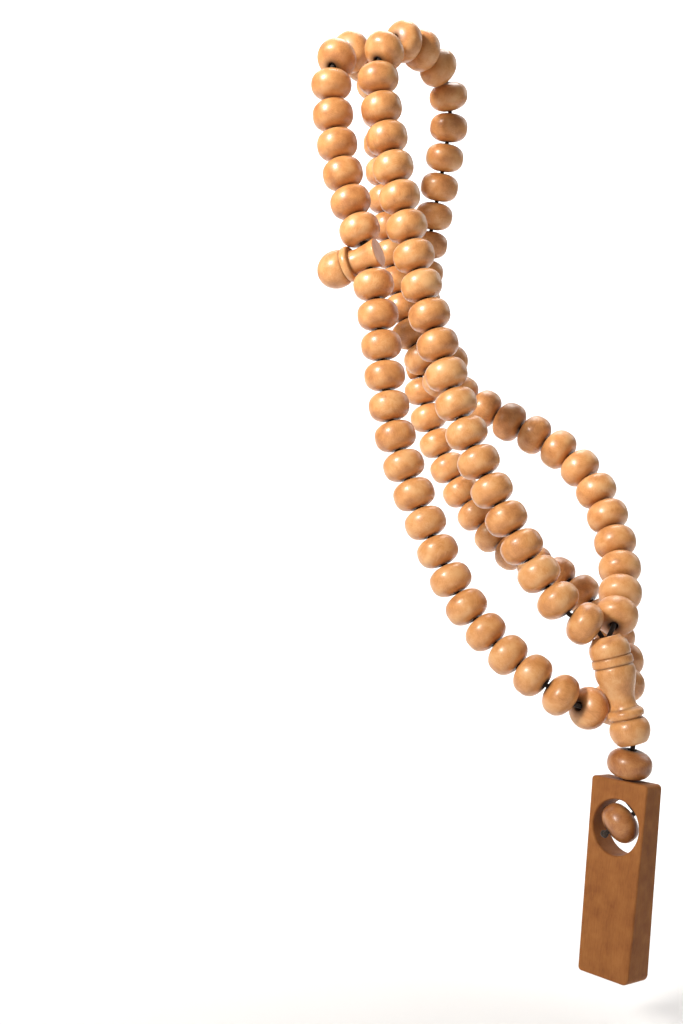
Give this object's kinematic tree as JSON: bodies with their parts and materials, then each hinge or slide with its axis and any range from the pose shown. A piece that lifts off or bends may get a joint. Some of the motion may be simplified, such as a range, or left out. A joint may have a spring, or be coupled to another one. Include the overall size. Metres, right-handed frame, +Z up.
{
  "type": "misbaha prayer beads",
  "caption": "Loop of turned wooden prayer beads draped over an upright edge, with two divider beads, a long turned end bead, and a hanging wooden tag with a round window.",
  "frame": {"origin": "on the top front edge of the support that the loop is draped over, between the two strands that cross it", "axes": "+Z up, +X along the front face towards the side that the loop goes round, +Y from the front face to the back"},
  "size_m": [0.08, 0.0462, 0.2104],
  "materials": {
    "bead_wood": "satin polished turned wood",
    "tag_wood": "smooth sanded redder wood, soft sheen",
    "thread": "dark twisted thread"
  },
  "bodies": {
    "string": {"string_loop": "thread", "beads_24_to_32": "bead_wood", "beads_34_to_49": "bead_wood", "beads_75_to_99": "bead_wood"},
    "bead_01": {"bead_01": "bead_wood"},
    "bead_02": {"bead_02": "bead_wood"},
    "bead_03": {"bead_03": "bead_wood"},
    "bead_04": {"bead_04": "bead_wood"},
    "bead_05": {"bead_05": "bead_wood"},
    "bead_06": {"bead_06": "bead_wood"},
    "bead_07": {"bead_07": "bead_wood"},
    "bead_08": {"bead_08": "bead_wood"},
    "bead_09": {"bead_09": "bead_wood"},
    "bead_10": {"bead_10": "bead_wood"},
    "bead_11": {"bead_11": "bead_wood"},
    "bead_12": {"bead_12": "bead_wood"},
    "bead_13": {"bead_13": "bead_wood"},
    "bead_14": {"bead_14": "bead_wood"},
    "bead_15": {"bead_15": "bead_wood"},
    "bead_16": {"bead_16": "bead_wood"},
    "bead_17": {"bead_17": "bead_wood"},
    "bead_18": {"bead_18": "bead_wood"},
    "bead_19": {"bead_19": "bead_wood"},
    "bead_20": {"bead_20": "bead_wood"},
    "bead_21": {"bead_21": "bead_wood"},
    "bead_22": {"bead_22": "bead_wood"},
    "bead_23": {"bead_23": "bead_wood"},
    "bead_33": {"bead_33": "bead_wood"},
    "bead_50": {"bead_50": "bead_wood"},
    "bead_51": {"bead_51": "bead_wood"},
    "bead_52": {"bead_52": "bead_wood"},
    "bead_53": {"bead_53": "bead_wood"},
    "bead_54": {"bead_54": "bead_wood"},
    "bead_55": {"bead_55": "bead_wood"},
    "bead_56": {"bead_56": "bead_wood"},
    "bead_57": {"bead_57": "bead_wood"},
    "bead_58": {"bead_58": "bead_wood"},
    "bead_59": {"bead_59": "bead_wood"},
    "bead_60": {"bead_60": "bead_wood"},
    "bead_61": {"bead_61": "bead_wood"},
    "bead_62": {"bead_62": "bead_wood"},
    "bead_63": {"bead_63": "bead_wood"},
    "bead_64": {"bead_64": "bead_wood"},
    "bead_65": {"bead_65": "bead_wood"},
    "bead_66": {"bead_66": "bead_wood"},
    "bead_67": {"bead_67": "bead_wood"},
    "bead_68": {"bead_68": "bead_wood"},
    "bead_69": {"bead_69": "bead_wood"},
    "bead_70": {"bead_70": "bead_wood"},
    "bead_71": {"bead_71": "bead_wood"},
    "bead_72": {"bead_72": "bead_wood"},
    "bead_73": {"bead_73": "bead_wood"},
    "bead_74": {"bead_74": "bead_wood"},
    "divider_front": {"divider_front": "bead_wood"},
    "divider_back": {"divider_back": "bead_wood"},
    "imam": {"imam": "bead_wood"},
    "spacer": {"spacer_bead": "bead_wood"},
    "tag": {"tag": "tag_wood", "string_tail": "thread"},
    "stopper": {"stopper_bead": "bead_wood"}
  },
  "joints": [
    {"name": "bead_01_spin", "type": "hinge", "parent": "string", "child": "bead_01", "pos_m": [0.05421, -0.00349, -0.12557], "axis": [-0.8282, -0.2686, 0.4918], "continuous": true},
    {"name": "bead_02_spin", "type": "hinge", "parent": "string", "child": "bead_02", "pos_m": [0.04872, -0.00452, -0.12087], "axis": [-0.6346, -0.0015, 0.7729], "continuous": true},
    {"name": "bead_03_spin", "type": "hinge", "parent": "string", "child": "bead_03", "pos_m": [0.04453, -0.00451, -0.11536], "axis": [-0.5754, 0.0037, 0.8178], "continuous": true},
    {"name": "bead_04_spin", "type": "hinge", "parent": "string", "child": "bead_04", "pos_m": [0.04073, -0.0045, -0.10957], "axis": [-0.5192, 0.0002, 0.8547], "continuous": true},
    {"name": "bead_05_spin", "type": "hinge", "parent": "string", "child": "bead_05", "pos_m": [0.03723, -0.0045, -0.1036], "axis": [-0.4934, 0, 0.8698], "continuous": true},
    {"name": "bead_06_spin", "type": "hinge", "parent": "string", "child": "bead_06", "pos_m": [0.03392, -0.0045, -0.09752], "axis": [-0.4619, 0, 0.8869], "continuous": true},
    {"name": "bead_07_spin", "type": "hinge", "parent": "string", "child": "bead_07", "pos_m": [0.03085, -0.0045, -0.09131], "axis": [-0.4256, 0, 0.9049], "continuous": true},
    {"name": "bead_08_spin", "type": "hinge", "parent": "string", "child": "bead_08", "pos_m": [0.02804, -0.0045, -0.08499], "axis": [-0.3855, 0, 0.9227], "continuous": true},
    {"name": "bead_09_spin", "type": "hinge", "parent": "string", "child": "bead_09", "pos_m": [0.02552, -0.0045, -0.07854], "axis": [-0.3432, -0.0013, 0.9393], "continuous": true},
    {"name": "bead_10_spin", "type": "hinge", "parent": "string", "child": "bead_10", "pos_m": [0.02324, -0.00452, -0.072], "axis": [-0.3143, -0.0034, 0.9493], "continuous": true},
    {"name": "bead_11_spin", "type": "hinge", "parent": "string", "child": "bead_11", "pos_m": [0.02113, -0.00455, -0.06541], "axis": [-0.2966, -0.0042, 0.955], "continuous": true},
    {"name": "bead_12_spin", "type": "hinge", "parent": "string", "child": "bead_12", "pos_m": [0.01912, -0.00458, -0.05879], "axis": [-0.2837, -0.0045, 0.9589], "continuous": true},
    {"name": "bead_13_spin", "type": "hinge", "parent": "string", "child": "bead_13", "pos_m": [0.0172, -0.00461, -0.05215], "axis": [-0.2732, -0.0044, 0.9619], "continuous": true},
    {"name": "bead_14_spin", "type": "hinge", "parent": "string", "child": "bead_14", "pos_m": [0.01534, -0.00464, -0.04548], "axis": [-0.264, -0.0039, 0.9645], "continuous": true},
    {"name": "bead_15_spin", "type": "hinge", "parent": "string", "child": "bead_15", "pos_m": [0.01354, -0.00466, -0.0388], "axis": [-0.2551, -0.003, 0.9669], "continuous": true},
    {"name": "bead_16_spin", "type": "hinge", "parent": "string", "child": "bead_16", "pos_m": [0.01181, -0.00468, -0.0321], "axis": [-0.2457, -0.0016, 0.9693], "continuous": true},
    {"name": "bead_17_spin", "type": "hinge", "parent": "string", "child": "bead_17", "pos_m": [0.01015, -0.00468, -0.02538], "axis": [-0.2347, 0.0007, 0.9721], "continuous": true},
    {"name": "bead_18_spin", "type": "hinge", "parent": "string", "child": "bead_18", "pos_m": [0.00857, -0.00466, -0.01864], "axis": [-0.2197, 0.0046, 0.9755], "continuous": true},
    {"name": "bead_19_spin", "type": "hinge", "parent": "string", "child": "bead_19", "pos_m": [0.00715, -0.0046, -0.01187], "axis": [-0.1916, 0.0134, 0.9814], "continuous": true},
    {"name": "bead_20_spin", "type": "hinge", "parent": "string", "child": "bead_20", "pos_m": [0.00623, -0.0045, -0.005], "axis": [-0.0732, 0.0144, 0.9972], "continuous": true},
    {"name": "bead_21_spin", "type": "hinge", "parent": "string", "child": "bead_21", "pos_m": [0.00677, -0.00251, 0.0018], "axis": [0.2166, 0.5189, 0.8269], "continuous": true},
    {"name": "bead_22_spin", "type": "hinge", "parent": "string", "child": "bead_22", "pos_m": [0.00872, 0.00366, 0.00596], "axis": [0.2483, 0.9571, 0.1493], "continuous": true},
    {"name": "bead_23_spin", "type": "hinge", "parent": "string", "child": "bead_23", "pos_m": [0.01039, 0.01039, 0.00625], "axis": [0.2308, 0.9706, -0.0686], "continuous": true},
    {"name": "bead_33_slide", "type": "slide", "parent": "string", "child": "bead_33", "axis": [0.0298, -0.0107, 0.9995], "range_m": [0, 0.0023]},
    {"name": "bead_50_spin", "type": "hinge", "parent": "string", "child": "bead_50", "pos_m": [0.05407, 0.00095, -0.14368], "axis": [-0.441, -0.875, 0.1999], "continuous": true},
    {"name": "bead_51_spin", "type": "hinge", "parent": "string", "child": "bead_51", "pos_m": [0.04935, -0.00379, -0.14072], "axis": [-0.7634, -0.3259, 0.5577], "continuous": true},
    {"name": "bead_52_spin", "type": "hinge", "parent": "string", "child": "bead_52", "pos_m": [0.04357, -0.00481, -0.13677], "axis": [-0.8416, 0.0457, 0.5382], "continuous": true},
    {"name": "bead_53_spin", "type": "hinge", "parent": "string", "child": "bead_53", "pos_m": [0.03794, -0.00458, -0.1327], "axis": [-0.7752, 0.0215, 0.6314], "continuous": true},
    {"name": "bead_54_spin", "type": "hinge", "parent": "string", "child": "bead_54", "pos_m": [0.03285, -0.0045, -0.12799], "axis": [-0.6896, 0.0006, 0.7242], "continuous": true},
    {"name": "bead_55_spin", "type": "hinge", "parent": "string", "child": "bead_55", "pos_m": [0.02841, -0.0045, -0.12266], "axis": [-0.5897, 0.0004, 0.8076], "continuous": true},
    {"name": "bead_56_spin", "type": "hinge", "parent": "string", "child": "bead_56", "pos_m": [0.0247, -0.0045, -0.11679], "axis": [-0.474, 0, 0.8805], "continuous": true},
    {"name": "bead_57_spin", "type": "hinge", "parent": "string", "child": "bead_57", "pos_m": [0.02157, -0.0045, -0.11062], "axis": [-0.4319, 0, 0.9019], "continuous": true},
    {"name": "bead_58_spin", "type": "hinge", "parent": "string", "child": "bead_58", "pos_m": [0.01863, -0.0045, -0.10435], "axis": [-0.418, 0, 0.9084], "continuous": true},
    {"name": "bead_59_spin", "type": "hinge", "parent": "string", "child": "bead_59", "pos_m": [0.01584, -0.0045, -0.09802], "axis": [-0.3874, 0, 0.9219], "continuous": true},
    {"name": "bead_60_spin", "type": "hinge", "parent": "string", "child": "bead_60", "pos_m": [0.01332, -0.0045, -0.09157], "axis": [-0.3411, 0, 0.94], "continuous": true},
    {"name": "bead_61_spin", "type": "hinge", "parent": "string", "child": "bead_61", "pos_m": [0.01119, -0.0045, -0.08498], "axis": [-0.2719, 0, 0.9623], "continuous": true},
    {"name": "bead_62_spin", "type": "hinge", "parent": "string", "child": "bead_62", "pos_m": [0.0096, -0.0045, -0.07823], "axis": [-0.1857, 0, 0.9826], "continuous": true},
    {"name": "bead_63_spin", "type": "hinge", "parent": "string", "child": "bead_63", "pos_m": [0.00848, -0.0045, -0.0714], "axis": [-0.1388, 0, 0.9903], "continuous": true},
    {"name": "bead_64_spin", "type": "hinge", "parent": "string", "child": "bead_64", "pos_m": [0.00757, -0.0045, -0.06454], "axis": [-0.1234, 0, 0.9924], "continuous": true},
    {"name": "bead_65_spin", "type": "hinge", "parent": "string", "child": "bead_65", "pos_m": [0.00668, -0.0045, -0.05768], "axis": [-0.1362, 0, 0.9907], "continuous": true},
    {"name": "bead_66_spin", "type": "hinge", "parent": "string", "child": "bead_66", "pos_m": [0.00556, -0.0045, -0.05085], "axis": [-0.1871, 0, 0.9823], "continuous": true},
    {"name": "bead_67_spin", "type": "hinge", "parent": "string", "child": "bead_67", "pos_m": [0.00195, -0.0045, -0.03815], "axis": [-0.3454, 0.0007, 0.9385], "continuous": true},
    {"name": "bead_68_spin", "type": "hinge", "parent": "string", "child": "bead_68", "pos_m": [-0.00039, -0.00449, -0.03164], "axis": [-0.3317, -0.0004, 0.9434], "continuous": true},
    {"name": "bead_69_spin", "type": "hinge", "parent": "string", "child": "bead_69", "pos_m": [-0.00238, -0.00451, -0.02499], "axis": [-0.2398, -0.0047, 0.9708], "continuous": true},
    {"name": "bead_70_spin", "type": "hinge", "parent": "string", "child": "bead_70", "pos_m": [-0.00385, -0.00456, -0.01823], "axis": [-0.1863, -0.0101, 0.9824], "continuous": true},
    {"name": "bead_71_spin", "type": "hinge", "parent": "string", "child": "bead_71", "pos_m": [-0.00497, -0.00461, -0.0114], "axis": [-0.1356, -0.0038, 0.9908], "continuous": true},
    {"name": "bead_72_spin", "type": "hinge", "parent": "string", "child": "bead_72", "pos_m": [-0.00543, -0.00464, -0.00447], "axis": [0.0026, -0.0042, 1], "continuous": true},
    {"name": "bead_73_spin", "type": "hinge", "parent": "string", "child": "bead_73", "pos_m": [-0.00521, -0.0024, 0.00229], "axis": [0.0555, 0.5961, 0.801], "continuous": true},
    {"name": "bead_74_spin", "type": "hinge", "parent": "string", "child": "bead_74", "pos_m": [-0.0049, 0.00413, 0.00624], "axis": [0.018, 0.991, 0.1328], "continuous": true},
    {"name": "divider_front_swing", "type": "hinge", "parent": "string", "child": "divider_front", "pos_m": [0.00403, -0.0045, -0.04442], "axis": [-0.2799, 0.0004, 0.96], "range_deg": [-5, 120]},
    {"name": "divider_back_swing", "type": "hinge", "parent": "string", "child": "divider_back", "pos_m": [0.00194, 0.03196, -0.0631], "axis": [0.0548, -0.0073, -0.9985], "range_deg": [-90, 5]},
    {"name": "imam_swing", "type": "hinge", "parent": "string", "child": "imam", "pos_m": [0.0582, -0.0015, -0.1282], "axis": [0, 1, 0], "range_deg": [-14, 1]},
    {"name": "tail_swing", "type": "hinge", "parent": "imam", "child": "spacer", "pos_m": [0.0639, -0.0003, -0.1504], "axis": [0, 1, 0], "range_deg": [-10, 6]},
    {"name": "tag_spin", "type": "hinge", "parent": "spacer", "child": "tag", "pos_m": [0.0625, 0.0001, -0.158], "axis": [0.1809, -0.0517, 0.9821], "continuous": true},
    {"name": "stopper_spin", "type": "hinge", "parent": "tag", "child": "stopper", "pos_m": [0.06148, -0.0008, -0.16703], "axis": [0.727, 0.3829, 0.57], "continuous": true}
  ]
}
